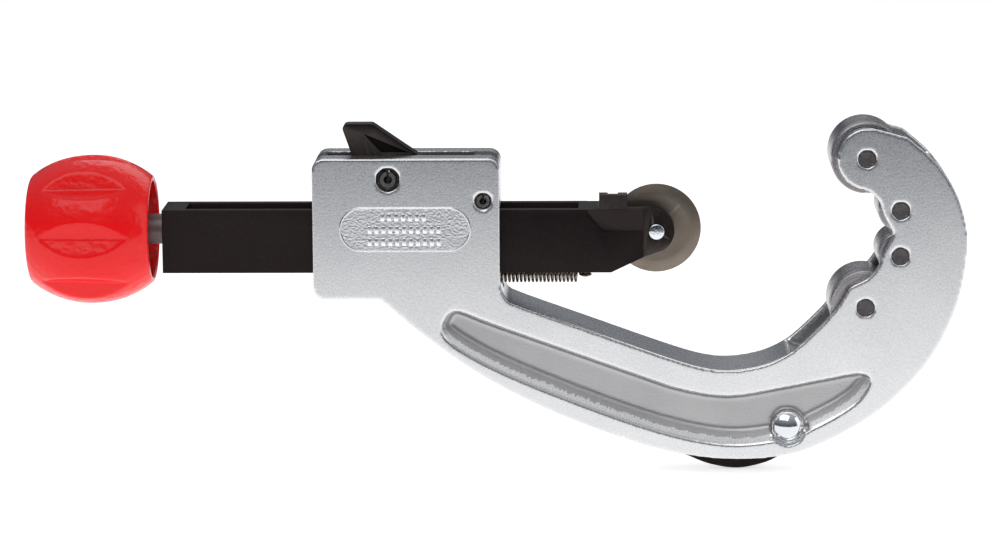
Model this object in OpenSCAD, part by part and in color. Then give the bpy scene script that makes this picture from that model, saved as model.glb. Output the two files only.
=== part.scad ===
// Quick-acting tube cutter: a cast hook frame, a screw-fed slide with a cutting wheel,
// four rollers, a release lever with its half nut, and a folding reamer.
// X runs along the feed screw towards the rollers, Z is up, and Y is across the tool.
// The origin is the centre of the largest tube, on the feed axis, in the middle of the frame.

/* [Frame casting] */
// Thickness of the whole casting, across the tool
frame_t = 24; // [22:0.5:28]
// Length of the guide box along the slide
guide_len = 55.8; // [52:0.2:60]
// Distance from the origin back to the guide box's front face
guide_front = 72.3; // [71:0.1:75]
// Height of the guide box above the feed axis
guide_top = 22.7; // [22:0.1:26]
// Depth of the guide box below the feed axis
guide_bottom = 19.7; // [19.2:0.1:24]
// Radius of the guide box's corners
guide_corner = 3.5; // [1:0.5:5]
// Thickness of each cheek beside the rollers
cheek_t = 2.4; // [2:0.1:3]
// Depth of the pocket in each side of the arm
pocket_depth = 5; // [3:0.5:5.5]
// Thickness of the web that joins the cheeks round the outside of the hook
hook_web = 4.6; // [3.5:0.1:5]

/* [Rollers] */
// Diameter of the two outer rollers
outer_roller_d = 21.2; // [18:0.2:22]
// Diameter of the two inner rollers
inner_roller_d = 13.3; // [12:0.1:14]
// Distance of the two outer rollers in front of the origin
outer_roller_x = 36.2; // [35:0.1:38]
// Height of the two outer rollers above and below the feed axis
outer_roller_z = 22.3; // [21.8:0.1:23]
// Distance of the two inner rollers in front of the origin
inner_roller_x = 46.4; // [45:0.1:48]
// Width of the narrow groove near one end of each roller
roller_groove_w = 1.0; // [0.6:0.1:1.6]
// Depth of that groove
roller_groove_depth = 1.5; // [0.5:0.1:2]
// Width of the land between the groove and the roller's end
roller_land_w = 2.2; // [1.5:0.1:3]
// Gap between the two inner rollers
inner_roller_gap = 0.4; // [0.3:0.1:1]
// Diameter of the roller pins
roller_pin_d = 5.2; // [4:0.1:6]

/* [Slide] */
// Width of the slide bar, across the tool
bar_w = 17.3; // [16:0.1:19]
// Height of the slide bar's top above the feed axis
bar_top = 6.9; // [6.5:0.1:9]
// Depth of the slide bar's underside below the feed axis
bar_bottom = 12.1; // [11:0.1:13]
// Length of the slide bar
bar_len = 143.6; // [140:0.2:150]
// Distance from the origin back to the slide bar's front face
bar_front = 29.7; // [29:0.1:31]
// Width of the long slot in the slide bar's top
slot_w = 11; // [10.8:0.1:12]
// Thickness of the slide bar's solid rear wall
bar_end_wall = 6.9; // [6:0.1:10]
// Length of the solid front end of the slide bar
bar_nose = 19.4; // [19:0.1:22]
// Height of the stop block's top above the feed axis
stop_top = 11.2; // [10:0.1:14]
// Length of the stop block
stop_len = 8.4; // [6:0.1:10]

/* [Cutting wheel] */
// Diameter of the cutting wheel
wheel_d = 26.7; // [22:0.1:28]
// Distance from the origin back to the wheel's axle
wheel_back = 25.8; // [25:0.1:27]
// Thickness of the wheel's disc
wheel_t = 1.6; // [1.2:0.1:2.4]
// Width of the wheel's hub
wheel_hub_w = 5; // [4:0.1:6]
// Diameter of the wheel's pin
wheel_pin_d = 4.8; // [4:0.1:6]

/* [Feed screw and knob] */
// Outer diameter of the feed thread
thread_d = 10; // [9.6:0.1:10.2]
// Travel of the slide for one turn of the knob
thread_pitch = 3; // [2.5:0.25:4]
// Depth of the feed thread
thread_depth = 1; // [0.8:0.1:1.2]
// Diameter of the plain shaft that carries the knob
shaft_d = 9.1; // [8.6:0.1:9.4]
// Largest diameter of the knob
knob_d = 44.8; // [40:0.1:50]
// Length of the knob
knob_len = 36.8; // [34:0.1:44]
// Radius of the curve along the knob's side
knob_barrel_r = 29; // [27:0.5:60]
// Diameter of the hollow in the knob's front
knob_bore_d = 29; // [26:0.5:30]
// Number of long creases round the knob
knob_creases = 8; // [6:1:10]
// Depth of each crease at the middle of the knob
knob_crease_depth = 3; // [1:0.1:3.2]
// Gap between the knob's front rim and the slide bar
knob_gap = 3.4; // [2.6:0.1:5]

/* [Release lever] */
// Thickness of the lever plate
lever_t = 6; // [5:0.1:6.4]
// Distance from the guide box's front face back to the lever's pivot
lever_pivot_in = 33.2; // [32:0.1:34.6]
// Height of the lever's pivot above the feed axis
lever_pivot_z = 16.4; // [16:0.1:17]
// Diameter of the lever's pivot pin
lever_pin_d = 4.8; // [4:0.1:5]
// Distance from the lever's pivot forward to the half nut's pin
nut_arm = 15; // [14.5:0.1:16]
// Length of the half nut
nut_len = 12; // [10:0.1:13]

/* [Springs] */
// Outer diameter of the return spring
spring_d = 5; // [4:0.1:5.4]
// Wire thickness of the return spring
spring_wire = 0.7; // [0.5:0.05:0.9]
// Number of turns of the return spring
spring_turns = 60; // [30:1:70]
// Depth of the return spring's axis below the feed axis
spring_z = 14.1; // [14:0.1:15]
// Outer diameter of the lever's spring
lever_spring_d = 4.2; // [3.5:0.1:4.6]

/* [Reamer] */
// Thickness of the reamer blade
blade_t = 2.6; // [2:0.1:3]
// Distance of the reamer's rivet in front of the origin
rivet_x = 13.5; // [12:0.1:15]
// Depth of the reamer's rivet below the feed axis
rivet_z = 59; // [58:0.1:60]
// Diameter of the rivet's domed heads
rivet_head_d = 9; // [8:0.1:10]
// Diameter of the rivet's shank
rivet_d = 5; // [4:0.1:6]

/* [Small pins] */
// Diameter of the guide pin over the slide bar
guide_pin_d = 4; // [3:0.1:4.4]
// Distance from the guide box's front face back to the guide pin
guide_pin_back = 5; // [4.4:0.1:5.4]
// Height of the guide pin above the feed axis
guide_pin_z = 9.9; // [9.4:0.1:12]
// Diameter of the two pins that hold the return spring
spring_pin_d = 2.4; // [2:0.1:2.8]

/* [Hidden] */
$fn = 64;

// Clearances: between sliding faces, round a turning pin, and beside a turning piece
slide_clear = 0.08;
pin_clear = 0.05;
side_clear = 0.1;
// How far a cutting shape runs past the face it opens
past = 1;

// Places that other pieces take up
guide_back = guide_front + guide_len;
lever_pivot_back = guide_front + lever_pivot_in;
bar_back = bar_front + bar_len;
cavity_back = bar_back - bar_end_wall;
cavity_front = bar_front + bar_nose;
channel_w = frame_t - 2 * cheek_t;
roller_w = channel_w - 2 * side_clear;
inner_roller_z = (inner_roller_d + inner_roller_gap) / 2;
knob_front = bar_back + knob_gap;
knob_back = knob_front + knob_len;
nut_x = -lever_pivot_back + nut_arm;

// Roller places and diameters, from the hook's tip round to the arm
roller_places = [[outer_roller_x, outer_roller_z], [inner_roller_x, inner_roller_z],
                 [inner_roller_x, -inner_roller_z], [outer_roller_x, -outer_roller_z]];
roller_sizes = [outer_roller_d, inner_roller_d, inner_roller_d, outer_roller_d];

spring_rear_x = -guide_back + 6.2;
spring_front_x = -bar_front - 17.3;
collar_back = -cavity_back + side_clear;
thread_back = collar_back + 2.2;
thread_clear = 0.15;
hook_gap = 0.05;
spring_lead = 0.8;
spring_pin_end = 0.6;

// Bush, snap ring, journal, fork and the knob's inside
ring_t = 1;
ring_recess = 1.5;
ring_back = bar_back - ring_recess + side_clear + ring_t;
ring_groove_d = shaft_d - 1.4;
ring_mouth = 2.4;
knob_wall = 9;
knob_floor = 7;
knob_hub_d = 15;
knob_hub_recess = 8;
knob_pin_d = 3;
knob_pin_x = -knob_back + 18;
bush_d = 12;
journal_d = 6;
journal_len = 4;
tongue_len = 14;
tongue_w = 11;
fork_gap = wheel_hub_w + 2 * side_clear;
fork_w = bar_w - 2.5;
fork_seat_z = -7.5;
ear_r = 6.8;
ear_place = [-wheel_back - 1.5, 0.2];
wheel_room = 0.8;
wheel_ring_d = 2 * (bar_front - wheel_back - side_clear);
stop_back = -bar_front - 13.2;
stop_spigot_d = 2.6;
stop_spigot_x = stop_back + 1.6;
stop_outer = bar_w / 2 - 0.25;
stop_inner = fork_gap / 2 + 0.3;
stop_spigot_y = -stop_inner - stop_spigot_d / 2;

// Taper under the bar's nose, and the shallow relief on each of its sides
chin_len = 9.6;
chin_rise = 4.6;
relief_depth = 0.4;
relief_len = 16.8;
relief_slope = 4.5;
relief_z = 0.4;

// Reamer's washer, slot and seat of the rivet's heads
washer_t = 0.4;
blade_slot_w = blade_t + washer_t + 2 * side_clear;
blade_y = -(blade_slot_w - blade_t) / 2 + 0.05;
rivet_seat = 2;
rivet_ring = 1.2;
rivet_boss = 1;

// Place of the lever's spring, and heights inside the guide
lever_spring_x = -lever_pivot_back - 8.6;
lever_ledge_z = 10;
lever_slot_wall = 8;
lever_under_z = 17;
nut_top_z = 9.4;
nut_ear_top_z = 15.4;
nut_pin_z = 12.4;
nut_pin_d = 2.4;
nut_pin_play = 1.5;
nut_low_z = 2.3;
nut_lift_room = 4;
nut_ear_t = 1.8;
nut_w = lever_t + 0.2 + 2 * nut_ear_t;

// A smooth curve through the knots, with n steps from each knot to the next
function curve_point(a, b, c, d, t) =
    0.5 * ((2 * b) + (c - a) * t + (2 * a - 5 * b + 4 * c - d) * t * t
           + (3 * b - a - 3 * c + d) * t * t * t);
function curve(k, n = 5) =
    let (last = len(k) - 1)
    [for (i = [0 : last - 1], j = [0 : n - 1])
        curve_point(k[max(i - 1, 0)], k[i], k[i + 1], k[min(i + 2, last)], j / n), k[last]];
// Points of an arc in the X-Z plane
function arc(c, r, a0, a1, n = 8) =
    [for (i = [0 : n]) c + r * [cos(a0 + (a1 - a0) * i / n), sin(a0 + (a1 - a0) * i / n)]];

// Underside of the arm and outside of the hook, from the guide box to the hook's tip
hook_outer = curve([[-110, -18], [-95, -30.7], [-77, -43.4], [-55, -54.6], [-28, -64.4],
                    [-6, -68.3], [14, -66.9], [30, -60.3], [44, -50.7], [55.5, -37.8],
                    [63, -22.4], [66.2, -5], [64.6, 6.5], [60.6, 15.7], [55.2, 22.6],
                    [48.2, 28.6]]);
// Inside of the jaw, from the hook's tip past the four rollers to the guide box
jaw_inner_top = curve([[30, 15.7], [33.6, 13.5], [37, 12.5], [40, 9.6], [41.4, 5.6], [44.1, 0.4]]);
jaw_inner_low = curve([[44.1, -0.4], [41.4, -5.6], [40, -9.6], [36.6, -13.5], [31.6, -16.2],
                       [28.8, -20.6], [25.8, -24.6], [20, -30.6], [13.8, -36], [6, -39.7],
                       [-3.5, -41.3], [-12, -40.5], [-23.6, -37], [-46, -29], [-67, -21.4],
                       [-70.8, -19], [-guide_front, -15]]);
hook_tip = arc([outer_roller_x + 0.4, outer_roller_z], 9.2, 68, 226, 10);

// Pocket in the arm's side
pocket_outline = curve([[-88.4, -24.6], [-84.6, -23.2], [-72.6, -27.8], [-31, -42.7], [-18, -47],
                        [-4, -49], [12, -46.4], [24.2, -44], [35, -42.2], [38, -45],
                        [33, -52], [20.4, -59.4], [9, -63], [-6, -64], [-25.1, -60],
                        [-48.8, -51.6], [-72.6, -41.6], [-86.6, -33.6], [-90, -28.6],
                        [-88.4, -24.6]], 4);

// A curve's points moved d to its left
function aside(p, d) =
    [for (i = [1 : len(p) - 2])
        let (t = p[i + 1] - p[i - 1])
        p[i] + d * [-t[1], t[0]] / norm(t)];

// Space between the cheeks, closed by the web round the outside and open at the hook's tip
web_start = 44;
web_end = 68;
web_inside = aside(hook_outer, hook_web);
web_outside = aside(hook_outer, -past);
module channel_outline() {
    polygon(concat([[8, -28]], curve([[11, -33.6], [15, -37.2], [24, -39], [36, -39], [46, -37.2]]),
                   [for (i = [web_start : web_end]) web_inside[i]],
                   [web_outside[web_end], [52, 44], [14, 44]]));
}

// Extrudes a shape drawn in the X-Z plane to a width across the tool, centred on Y = 0
module across(w) {
    rotate([90, 0, 0])
        linear_extrude(height = w, center = true)
            children();
}

// A round bar along Y, centred on Y = 0
module cross_cylinder(x, z, d, len) {
    translate([x, 0, z])
        rotate([90, 0, 0])
            cylinder(d = d, h = len, center = true);
}

// A round bar along X from x0 to x1, on the feed axis
module axis_cylinder(x0, x1, d) {
    translate([x0, 0, 0])
        rotate([0, 90, 0])
            cylinder(d = d, h = x1 - x0);
}

// A cube given by its lowest corner and its highest corner
module block(low, high) {
    translate(low)
        cube(high - low);
}

module frame_outline() {
    polygon(concat(hook_outer, hook_tip, jaw_inner_top, jaw_inner_low, [[-guide_front - 4, -10]]));
}

module guide_outline() {
    r = guide_corner;
    translate([-guide_back + r, -guide_bottom])
        square([guide_len - 2 * r, guide_bottom + guide_top]);
    translate([-guide_back, -guide_bottom + r])
        square([guide_len, guide_bottom + guide_top - 2 * r]);
    for (x = [-guide_back + r, -guide_front - r], z = [-guide_bottom + r, guide_top - r])
        translate([x, z])
            circle(r = r);
}

// Hollows of the guide box: the slide's way, the spring's groove, the lever's slot
module guide_hollows() {
    half = bar_w / 2 + slide_clear;
    block([-guide_back - past, -half, -bar_bottom - slide_clear],
          [-guide_front + past, half, bar_top + slide_clear]);
    block([-guide_back + 3, -spring_d / 2 - 0.5, -spring_z - spring_d / 2 - 0.6],
          [-guide_front + past, spring_d / 2 + 0.5, -bar_bottom]);
    slot_half = lever_t / 2 + side_clear;
    block([-guide_back + 4, -slot_half, lever_ledge_z],
          [-guide_front - lever_slot_wall, slot_half, guide_top + past]);
    block([-lever_pivot_back - 5.3, -slot_half, bar_top],
          [-guide_front - lever_slot_wall, slot_half, lever_ledge_z + past]);
    nut_half = nut_w / 2 + side_clear;
    block([nut_x - nut_len / 2 - side_clear, -nut_half, bar_top],
          [nut_x + nut_len / 2 + side_clear, nut_half, nut_ear_top_z + nut_lift_room]);
}

// Slot in the arm's belly that the reamer blade folds into
module blade_slot() {
    across(blade_slot_w)
        polygon([[-32, -90], [-32, -62], [-22, -56.6], [0, -53.5], [rivet_x + 2, -50.6],
                 [rivet_x + 11, -55], [rivet_x + 14, -62], [rivet_x + 14, -90]]);
}

module frame() {
    color("silver")
        difference() {
            union() {
                difference() {
                    across(frame_t)
                        frame_outline();
                    for (side = [-1, 1])
                        translate([0, side * frame_t / 2, 0])
                            across(2 * pocket_depth)
                                polygon(pocket_outline);
                }
                cross_cylinder(rivet_x, -rivet_z, rivet_head_d + rivet_boss, frame_t - 2 * rivet_seat);
                across(frame_t)
                    guide_outline();
            }
            across(channel_w)
                channel_outline();
            guide_hollows();
            blade_slot();
            cross_cylinder(rivet_x, -rivet_z, rivet_d, frame_t + past);
            for (side = [-1, 1])
                translate([0, side * frame_t / 2, 0])
                    cross_cylinder(rivet_x, -rivet_z, rivet_head_d + rivet_ring, 2 * rivet_seat);
            cross_cylinder(-lever_pivot_back, lever_pivot_z, lever_pin_d, frame_t + past);
            cross_cylinder(-guide_front - guide_pin_back, guide_pin_z, guide_pin_d, frame_t + past);
            for (side = [-1, 1]) {
                translate([0, side * frame_t / 2, 0])
                    cross_cylinder(-lever_pivot_back, lever_pivot_z, lever_pin_d + 2.2, 5);
                translate([0, side * frame_t / 2, 0])
                    cross_cylinder(-guide_front - guide_pin_back, guide_pin_z, guide_pin_d + 1.2, 2);
            }
            for (p = roller_places)
                cross_cylinder(p[0], p[1], roller_pin_d, frame_t + past);
            translate([spring_rear_x, 0, -guide_bottom - past])
                cylinder(d = spring_pin_d, h = guide_bottom - bar_bottom + past);
        }
}

// The slide bar: a solid rear wall, a long open slot for the screw, and a nose for the fork
module slide_bar() {
    color("#1c1a1a")
        difference() {
            across(bar_w)
                polygon([[-bar_back, -bar_bottom], [-bar_front - chin_len, -bar_bottom],
                         [-bar_front, -bar_bottom + chin_rise], [-bar_front, bar_top],
                         [-bar_back, bar_top]]);
            axis_cylinder(-cavity_back, -cavity_front, slot_w);
            block([-cavity_back, -slot_w / 2, 0], [-cavity_front, slot_w / 2, bar_top + past]);
            axis_cylinder(-bar_back - past, -cavity_back + past, bush_d);
            axis_cylinder(-cavity_front - past, -cavity_front + journal_len + 0.4,
                          journal_d + 2 * pin_clear);
            block([-bar_front - tongue_len, -tongue_w / 2, fork_seat_z],
                  [-bar_front + past, tongue_w / 2, bar_top + past]);
            block([-wheel_back - wheel_d / 2 - wheel_room, -fork_gap / 2, -bar_bottom - past],
                  [-bar_front + past, fork_gap / 2, bar_top + past]);
            for (side = [-1, 1])
                translate([0, side * bar_w / 2, 0])
                    across(2 * relief_depth)
                        polygon([[-bar_front - relief_len, bar_top + past],
                                 [-bar_front - relief_len, bar_top - 1.3],
                                 [-bar_front - relief_len + relief_slope, relief_z],
                                 [-bar_front + past, relief_z], [-bar_front + past, bar_top + past]]);
            translate([0, 0, -spring_z])
                rotate([0, 90, 0])
                    translate([0, 0, -bar_back - past])
                        cylinder(d = spring_d + 1, h = spring_front_x + 2.2 + bar_back + past);
            translate([spring_front_x, 0, -bar_bottom - past])
                cylinder(d = spring_pin_d, h = 5.5);
        }
}

// The fork that carries the wheel: a tongue let into the bar and two rounded ears
module wheel_fork() {
    color("#231d1c")
        difference() {
            union() {
                block([-bar_front - tongue_len, -tongue_w / 2, fork_seat_z],
                      [-bar_front, tongue_w / 2, bar_top]);
                across(fork_w)
                    polygon(concat([[-bar_front, fork_seat_z - 0.1]], arc(ear_place, ear_r, -58, 90, 14),
                                   [[-bar_front, ear_place[1] + ear_r]]));
            }
            block([-wheel_back - wheel_d / 2 - wheel_room, -fork_gap / 2, -bar_bottom],
                  [0, fork_gap / 2, bar_top + past]);
            cross_cylinder(-wheel_back, 0, wheel_pin_d, fork_w + past);
            translate([stop_spigot_x, stop_spigot_y, bar_top - 2.5])
                cylinder(d = stop_spigot_d, h = 5);
        }
}

// The block beside the wheel on the bar's nose that stops the slide against the guide
module stop_block() {
    color("#1a1818") {
        difference() {
            block([stop_back, -stop_outer, bar_top], [stop_back + stop_len, -stop_inner, stop_top]);
            block([stop_back + 2.6, -stop_inner - 2.4, stop_top - 1],
                  [stop_back + 5.6, -stop_inner + past, stop_top + past]);
        }
        translate([stop_spigot_x, stop_spigot_y, bar_top - 2.5])
            cylinder(d = stop_spigot_d, h = 3);
    }
}

// Bronze bush in the bar's rear wall
module end_bush() {
    color("#a8823c")
        difference() {
            axis_cylinder(-bar_back + ring_recess, -cavity_back, bush_d);
            axis_cylinder(-bar_back - past, -cavity_back + past, shaft_d + 2 * pin_clear);
        }
}

// Threaded rod along X as one closed surface. Each turn has four rows: two on the root
// and two on the crest, and every row climbs one pitch for each turn round the axis.
// widen moves both flanks of the thread outwards.
module threaded_rod(x0, turns, r_root, r_crest, widen = 0, steps = 18) {
    pitch = thread_pitch;
    rows = 4 * turns;
    row_place = [-widen, 0.24 * pitch - widen, 0.42 * pitch + widen, 0.66 * pitch + widen];
    row_radius = [r_root, r_crest, r_crest, r_root];
    rod = [for (j = [0 : rows], i = [0 : steps - 1])
              let (r = row_radius[j % 4], a = 360 * i / steps)
              [x0 + pitch * (floor(j / 4) + i / steps) + row_place[j % 4], r * cos(a), r * sin(a)]];
    top = rows * steps;
    tail = len(rod);
    head = tail + 1;
    last = steps - 1;
    sides = [for (j = [0 : rows - 1], i = [0 : steps - 2], k = [0, 1])
                let (p = j * steps + i)
                k == 0 ? [p, p + 1, p + steps] : [p + 1, p + 1 + steps, p + steps]];
    seam = [for (j = [0 : rows - 5], k = [0, 1])
               let (p = j * steps + last, q = (j + 4) * steps)
               k == 0 ? [p, q, p + steps] : [q, q + steps, p + steps]];
    tail_fan = concat([for (i = [0 : last - 1]) [tail, i + 1, i]],
                      [for (j = [0 : 3]) [tail, j * steps, (j + 1) * steps]],
                      [[tail, 4 * steps, last]]);
    head_fan = concat([for (i = [0 : last - 1]) [head, top + i, top + i + 1]],
                      [for (j = [0 : 3])
                          [head, top - j * steps + last, top - (j + 1) * steps + last]],
                      [[head, top - 4 * steps + last, top]]);
    all = concat(sides, seam, tail_fan, head_fan);
    polyhedron(points = concat(rod, [[x0 + pitch / 2, 0, 0], [x0 + pitch * (turns + 0.5), 0, 0]]),
               faces = [for (f = all) [f[2], f[1], f[0]]]);
}

// The feed screw: knob shaft, collar against the bush, thread, and a journal in the bar's nose
module feed_screw() {
    turns = floor((-cavity_front - 1 - thread_back) / thread_pitch) - 1;
    r_root = thread_d / 2 - thread_depth;
    color("#3a3838")
        union() {
            difference() {
                axis_cylinder(-knob_back + knob_floor, collar_back, shaft_d);
                axis_cylinder(-ring_back, -ring_back + ring_t, 2 * shaft_d);
                cross_cylinder(knob_pin_x, 0, knob_pin_d, knob_hub_d);
            }
            axis_cylinder(-ring_back - past, -ring_back + ring_t + past, ring_groove_d);
            axis_cylinder(collar_back, thread_back + thread_pitch, thread_d - 0.6);
            threaded_rod(thread_back, turns, r_root, thread_d / 2);
            axis_cylinder(thread_back + thread_pitch * turns - 2, -cavity_front + journal_len, journal_d);
        }
}

// The snap ring on the knob shaft, sunk in the bar behind the bush
module retaining_ring() {
    color("#4a4a4c")
        difference() {
            axis_cylinder(-ring_back, -ring_back + ring_t, bush_d - 0.6);
            axis_cylinder(-ring_back - past, -ring_back + ring_t + past, ring_groove_d);
            block([-ring_back - past, -ring_mouth / 2, 0],
                  [-ring_back + ring_t + past, ring_mouth / 2, bush_d]);
        }
}

// The knob: barrel-shaped, creased, hollow in front, with a hub for the screw's shaft
module knob() {
    r = knob_d / 2;
    mid = knob_len / 2;
    color("#c8161d")
        translate([-knob_back, 0, 0])
            rotate([0, 90, 0])
                difference() {
                    rotate_extrude()
                        intersection() {
                            translate([r - knob_barrel_r, mid])
                                circle(r = knob_barrel_r, $fn = 180);
                            square([r, knob_len]);
                        }
                    difference() {
                        translate([0, 0, knob_wall])
                            cylinder(d = knob_bore_d, h = knob_len);
                        cylinder(d = knob_hub_d, h = knob_len - knob_hub_recess);
                    }
                    translate([0, 0, knob_floor - 0.2])
                        cylinder(d = shaft_d, h = knob_len);
                    translate([0, 0, knob_pin_x + knob_back])
                        rotate([0, 90, 90])
                            cylinder(d = knob_pin_d, h = knob_hub_d + 1, center = true);
                    for (i = [0 : knob_creases - 1])
                        rotate([0, 0, 360 * i / knob_creases])
                            translate([r - knob_crease_depth, 0, mid - 1])
                                rotate([0, 1.5, 0])
                                    translate([0, 0, -knob_len])
                                        linear_extrude(height = 2 * knob_len)
                                            polygon([[0, 0], [12, -26], [12, 26]]);
                }
}

// Cross pin through the knob's hub and the screw's shaft
module knob_pin() {
    color("#707074")
        cross_cylinder(knob_pin_x, 0, knob_pin_d, knob_hub_d - 0.6);
}

// The lever's side view and the recess in each of its sides, measured along X from the pivot
lever_nose = nut_arm + 7.1;
lever_outline = concat(arc([-12.4, 30.5], 1.4, 205, 90, 5), arc([-5.4, 30.4], 1.5, 90, 56, 2),
                       [[7.6, 23.3], [11.5, 20.6], [lever_nose, 17.6], [lever_nose, 9.8],
                        [nut_arm, 9.8], [7.5, 11.8], [-4.5, 11.8], [-5.9, lever_under_z],
                        [-10.9, lever_under_z], [-11.1, 22.6]]);
lever_recess = [[-7.5, 29], [-4, 27.6], [5.9, 23.4], [-2.5, 23.4]];

// The thumb lever, with an open-sided slot for the half nut's pin
module release_lever() {
    color("#241f1e")
        difference() {
            translate([-lever_pivot_back, 0, 0])
                across(lever_t)
                    polygon(lever_outline);
            for (side = [-1, 1])
                translate([-lever_pivot_back, side * lever_t / 2, 0])
                    across(2)
                        polygon(lever_recess);
            cross_cylinder(-lever_pivot_back, lever_pivot_z, lever_pin_d + 2 * pin_clear, lever_t + past);
            for (x = [-nut_pin_play, nut_pin_play])
                cross_cylinder(nut_x + x, nut_pin_z, nut_pin_d + 2 * thread_clear, lever_t + past);
            block([nut_x - nut_pin_play, -lever_t, nut_pin_z - nut_pin_d / 2 - thread_clear],
                  [nut_x + nut_pin_play, lever_t, nut_pin_z + nut_pin_d / 2 + thread_clear]);
        }
}

// A roll pin across the frame, with the slot along its side that lets it close up
module roll_pin(x, z, d, len) {
    difference() {
        cross_cylinder(x, z, d, len);
        cross_cylinder(x, z, d * 0.5, len + past);
        block([x - d * 0.08, -len, z], [x + d * 0.08, len, z + d]);
    }
}

module lever_pivot_pin() {
    color("#3c3a3a")
        roll_pin(-lever_pivot_back, lever_pivot_z, lever_pin_d, frame_t - 1.6);
}

module guide_pin() {
    color("#3c3a3a")
        roll_pin(-guide_front - guide_pin_back, guide_pin_z, guide_pin_d, frame_t - 1.2);
}

// The half nut: a saddle with threads that match the feed screw, and two ears for its pin
module half_nut() {
    color("#8d8a84")
        difference() {
            union() {
                block([nut_x - nut_len / 2, -nut_w / 2, nut_low_z],
                      [nut_x + nut_len / 2, nut_w / 2, nut_top_z]);
                for (side = [-1, 1])
                    translate([nut_x, side * (nut_w - nut_ear_t) / 2, (nut_top_z + nut_ear_top_z) / 2])
                        cube([nut_len - 5, nut_ear_t, nut_ear_top_z - nut_top_z + 1], center = true);
            }
            cross_cylinder(nut_x, nut_pin_z, nut_pin_d, nut_w + past);
            nut_thread_space();
        }
}

// The feed thread with room round it, in mesh with the screw at rest
module nut_thread_space() {
    first = floor((nut_x - nut_len / 2 - thread_back) / thread_pitch) - 2;
    threaded_rod(thread_back + first * thread_pitch, 8, thread_d / 2 - thread_depth + thread_clear,
                 thread_d / 2 + thread_clear, thread_clear);
}

module half_nut_pin() {
    color("#707074")
        cross_cylinder(nut_x, nut_pin_z, nut_pin_d, nut_w);
}

// One wire of square section along a path; each place is [point, centre that it turns round]
module swept_wire(places, wire) {
    last = len(places) - 1;
    w = wire / 2;
    wire_points = [for (i = [0 : last])
                      let (t = places[min(i + 1, last)][0] - places[max(i - 1, 0)][0],
                           b = cross(t, places[i][0] - places[i][1]), n = cross(b, t),
                           u = w * b / norm(b), v = w * n / norm(n))
                      each [places[i][0] - u - v, places[i][0] + u - v,
                            places[i][0] + u + v, places[i][0] - u + v]];
    polyhedron(points = wire_points,
               faces = concat([[0, 1, 2, 3]],
                              [for (i = [0 : last - 1], k = [0 : 3], half = [0, 1])
                                  let (p = 4 * i + k, q = 4 * i + (k + 1) % 4)
                                  half == 0 ? [p, p + 4, q] : [q, p + 4, q + 4]],
                              [[4 * last + 3, 4 * last + 2, 4 * last + 1, 4 * last]]));
}

// The lever's spring: it stands on the ledge behind the pivot and holds the thumb pad up
module lever_spring() {
    wire = 0.6;
    r = (lever_spring_d - wire) / 2;
    steps = 14;
    rings = 5 * steps;
    low = lever_ledge_z + wire / 2 + hook_gap;
    high = lever_under_z - wire / 2 - hook_gap;
    color("#9a9aa0")
        swept_wire([for (i = [0 : rings])
                       let (a = 360 * i / steps, c = [lever_spring_x, 0, low + (high - low) * i / rings])
                       [c + r * [cos(a), sin(a), 0], c]], wire);
}

// Places along a loop in the X-Y plane round a pin at x
function pin_loop(x, r, a0, a1, n = 16) =
    [for (i = [0 : n]) let (a = a0 + (a1 - a0) * i / n, c = [x, 0, -spring_z])
        [c + r * [cos(a), sin(a), 0], c]];

// The return spring: a long coil with a loop at each end round its pin
module return_spring() {
    loop_r = spring_pin_d / 2 + hook_gap + spring_wire / 2;
    coil_back = spring_rear_x + loop_r + spring_lead;
    coil_front = spring_front_x - loop_r - spring_lead;
    r = (spring_d - spring_wire) / 2;
    steps = 8;
    rings = spring_turns * steps;
    color("#7d766c")
        swept_wire(concat(pin_loop(spring_rear_x, loop_r, 40, 345),
                          [for (i = [0 : rings])
                              let (a = 360 * i / steps, x = coil_back + (coil_front - coil_back) * i / rings)
                              [[x, r * sin(a), r * cos(a) - spring_z], [x, 0, -spring_z]]],
                          pin_loop(spring_front_x, loop_r, 195, 500)), spring_wire);
}

module spring_front_pin() {
    color("#3c3a3a")
        translate([spring_front_x, 0, -spring_z - spring_pin_end])
            cylinder(d = spring_pin_d, h = spring_z + spring_pin_end - bar_bottom + 4.5);
}

module spring_rear_pin() {
    color("#3c3a3a")
        translate([spring_rear_x, 0, -guide_bottom])
            cylinder(d = spring_pin_d, h = guide_bottom - bar_bottom - 1);
}

module cutter_wheel() {
    r = wheel_d / 2;
    bore = wheel_pin_d / 2 + pin_clear;
    half = [[bore, wheel_hub_w / 2], [4.4, wheel_hub_w / 2], [4.8, wheel_t / 2],
            [r - 2.6, wheel_t / 2], [r, 0.06]];
    color("#8a7a6a")
        translate([-wheel_back, 0, 0])
            rotate([90, 0, 0])
                rotate_extrude()
                    polygon(concat(half, [for (i = [len(half) - 1 : -1 : 0]) [half[i][0], -half[i][1]]]));
}

module wheel_pin() {
    end_y = fork_w / 2 + 1.6;
    color("#b9bcc0")
        difference() {
            translate([-wheel_back, 0, 0])
                rotate([90, 0, 0])
                    translate([0, 0, -end_y])
                        cylinder(d = wheel_pin_d, h = end_y + fork_w / 2 + 0.8);
            translate([-wheel_back, fork_w / 2 + 0.1, 0])
                rotate([-90, 0, 0])
                    difference() {
                        cylinder(d = wheel_pin_d + past, h = 0.8);
                        cylinder(d = wheel_pin_d - 1, h = 0.8);
                    }
        }
}

module wheel_pin_ring() {
    color("#4a4a4c")
        translate([-wheel_back, fork_w / 2 + 0.1, 0])
            rotate([-90, 0, 0])
                difference() {
                    cylinder(d = wheel_ring_d, h = 0.8);
                    translate([0, 0, -past])
                        cylinder(d = wheel_pin_d - 1, h = 3);
                    translate([-0.9, 0, -past])
                        cube([1.8, 10, 4]);
                }
}

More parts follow.
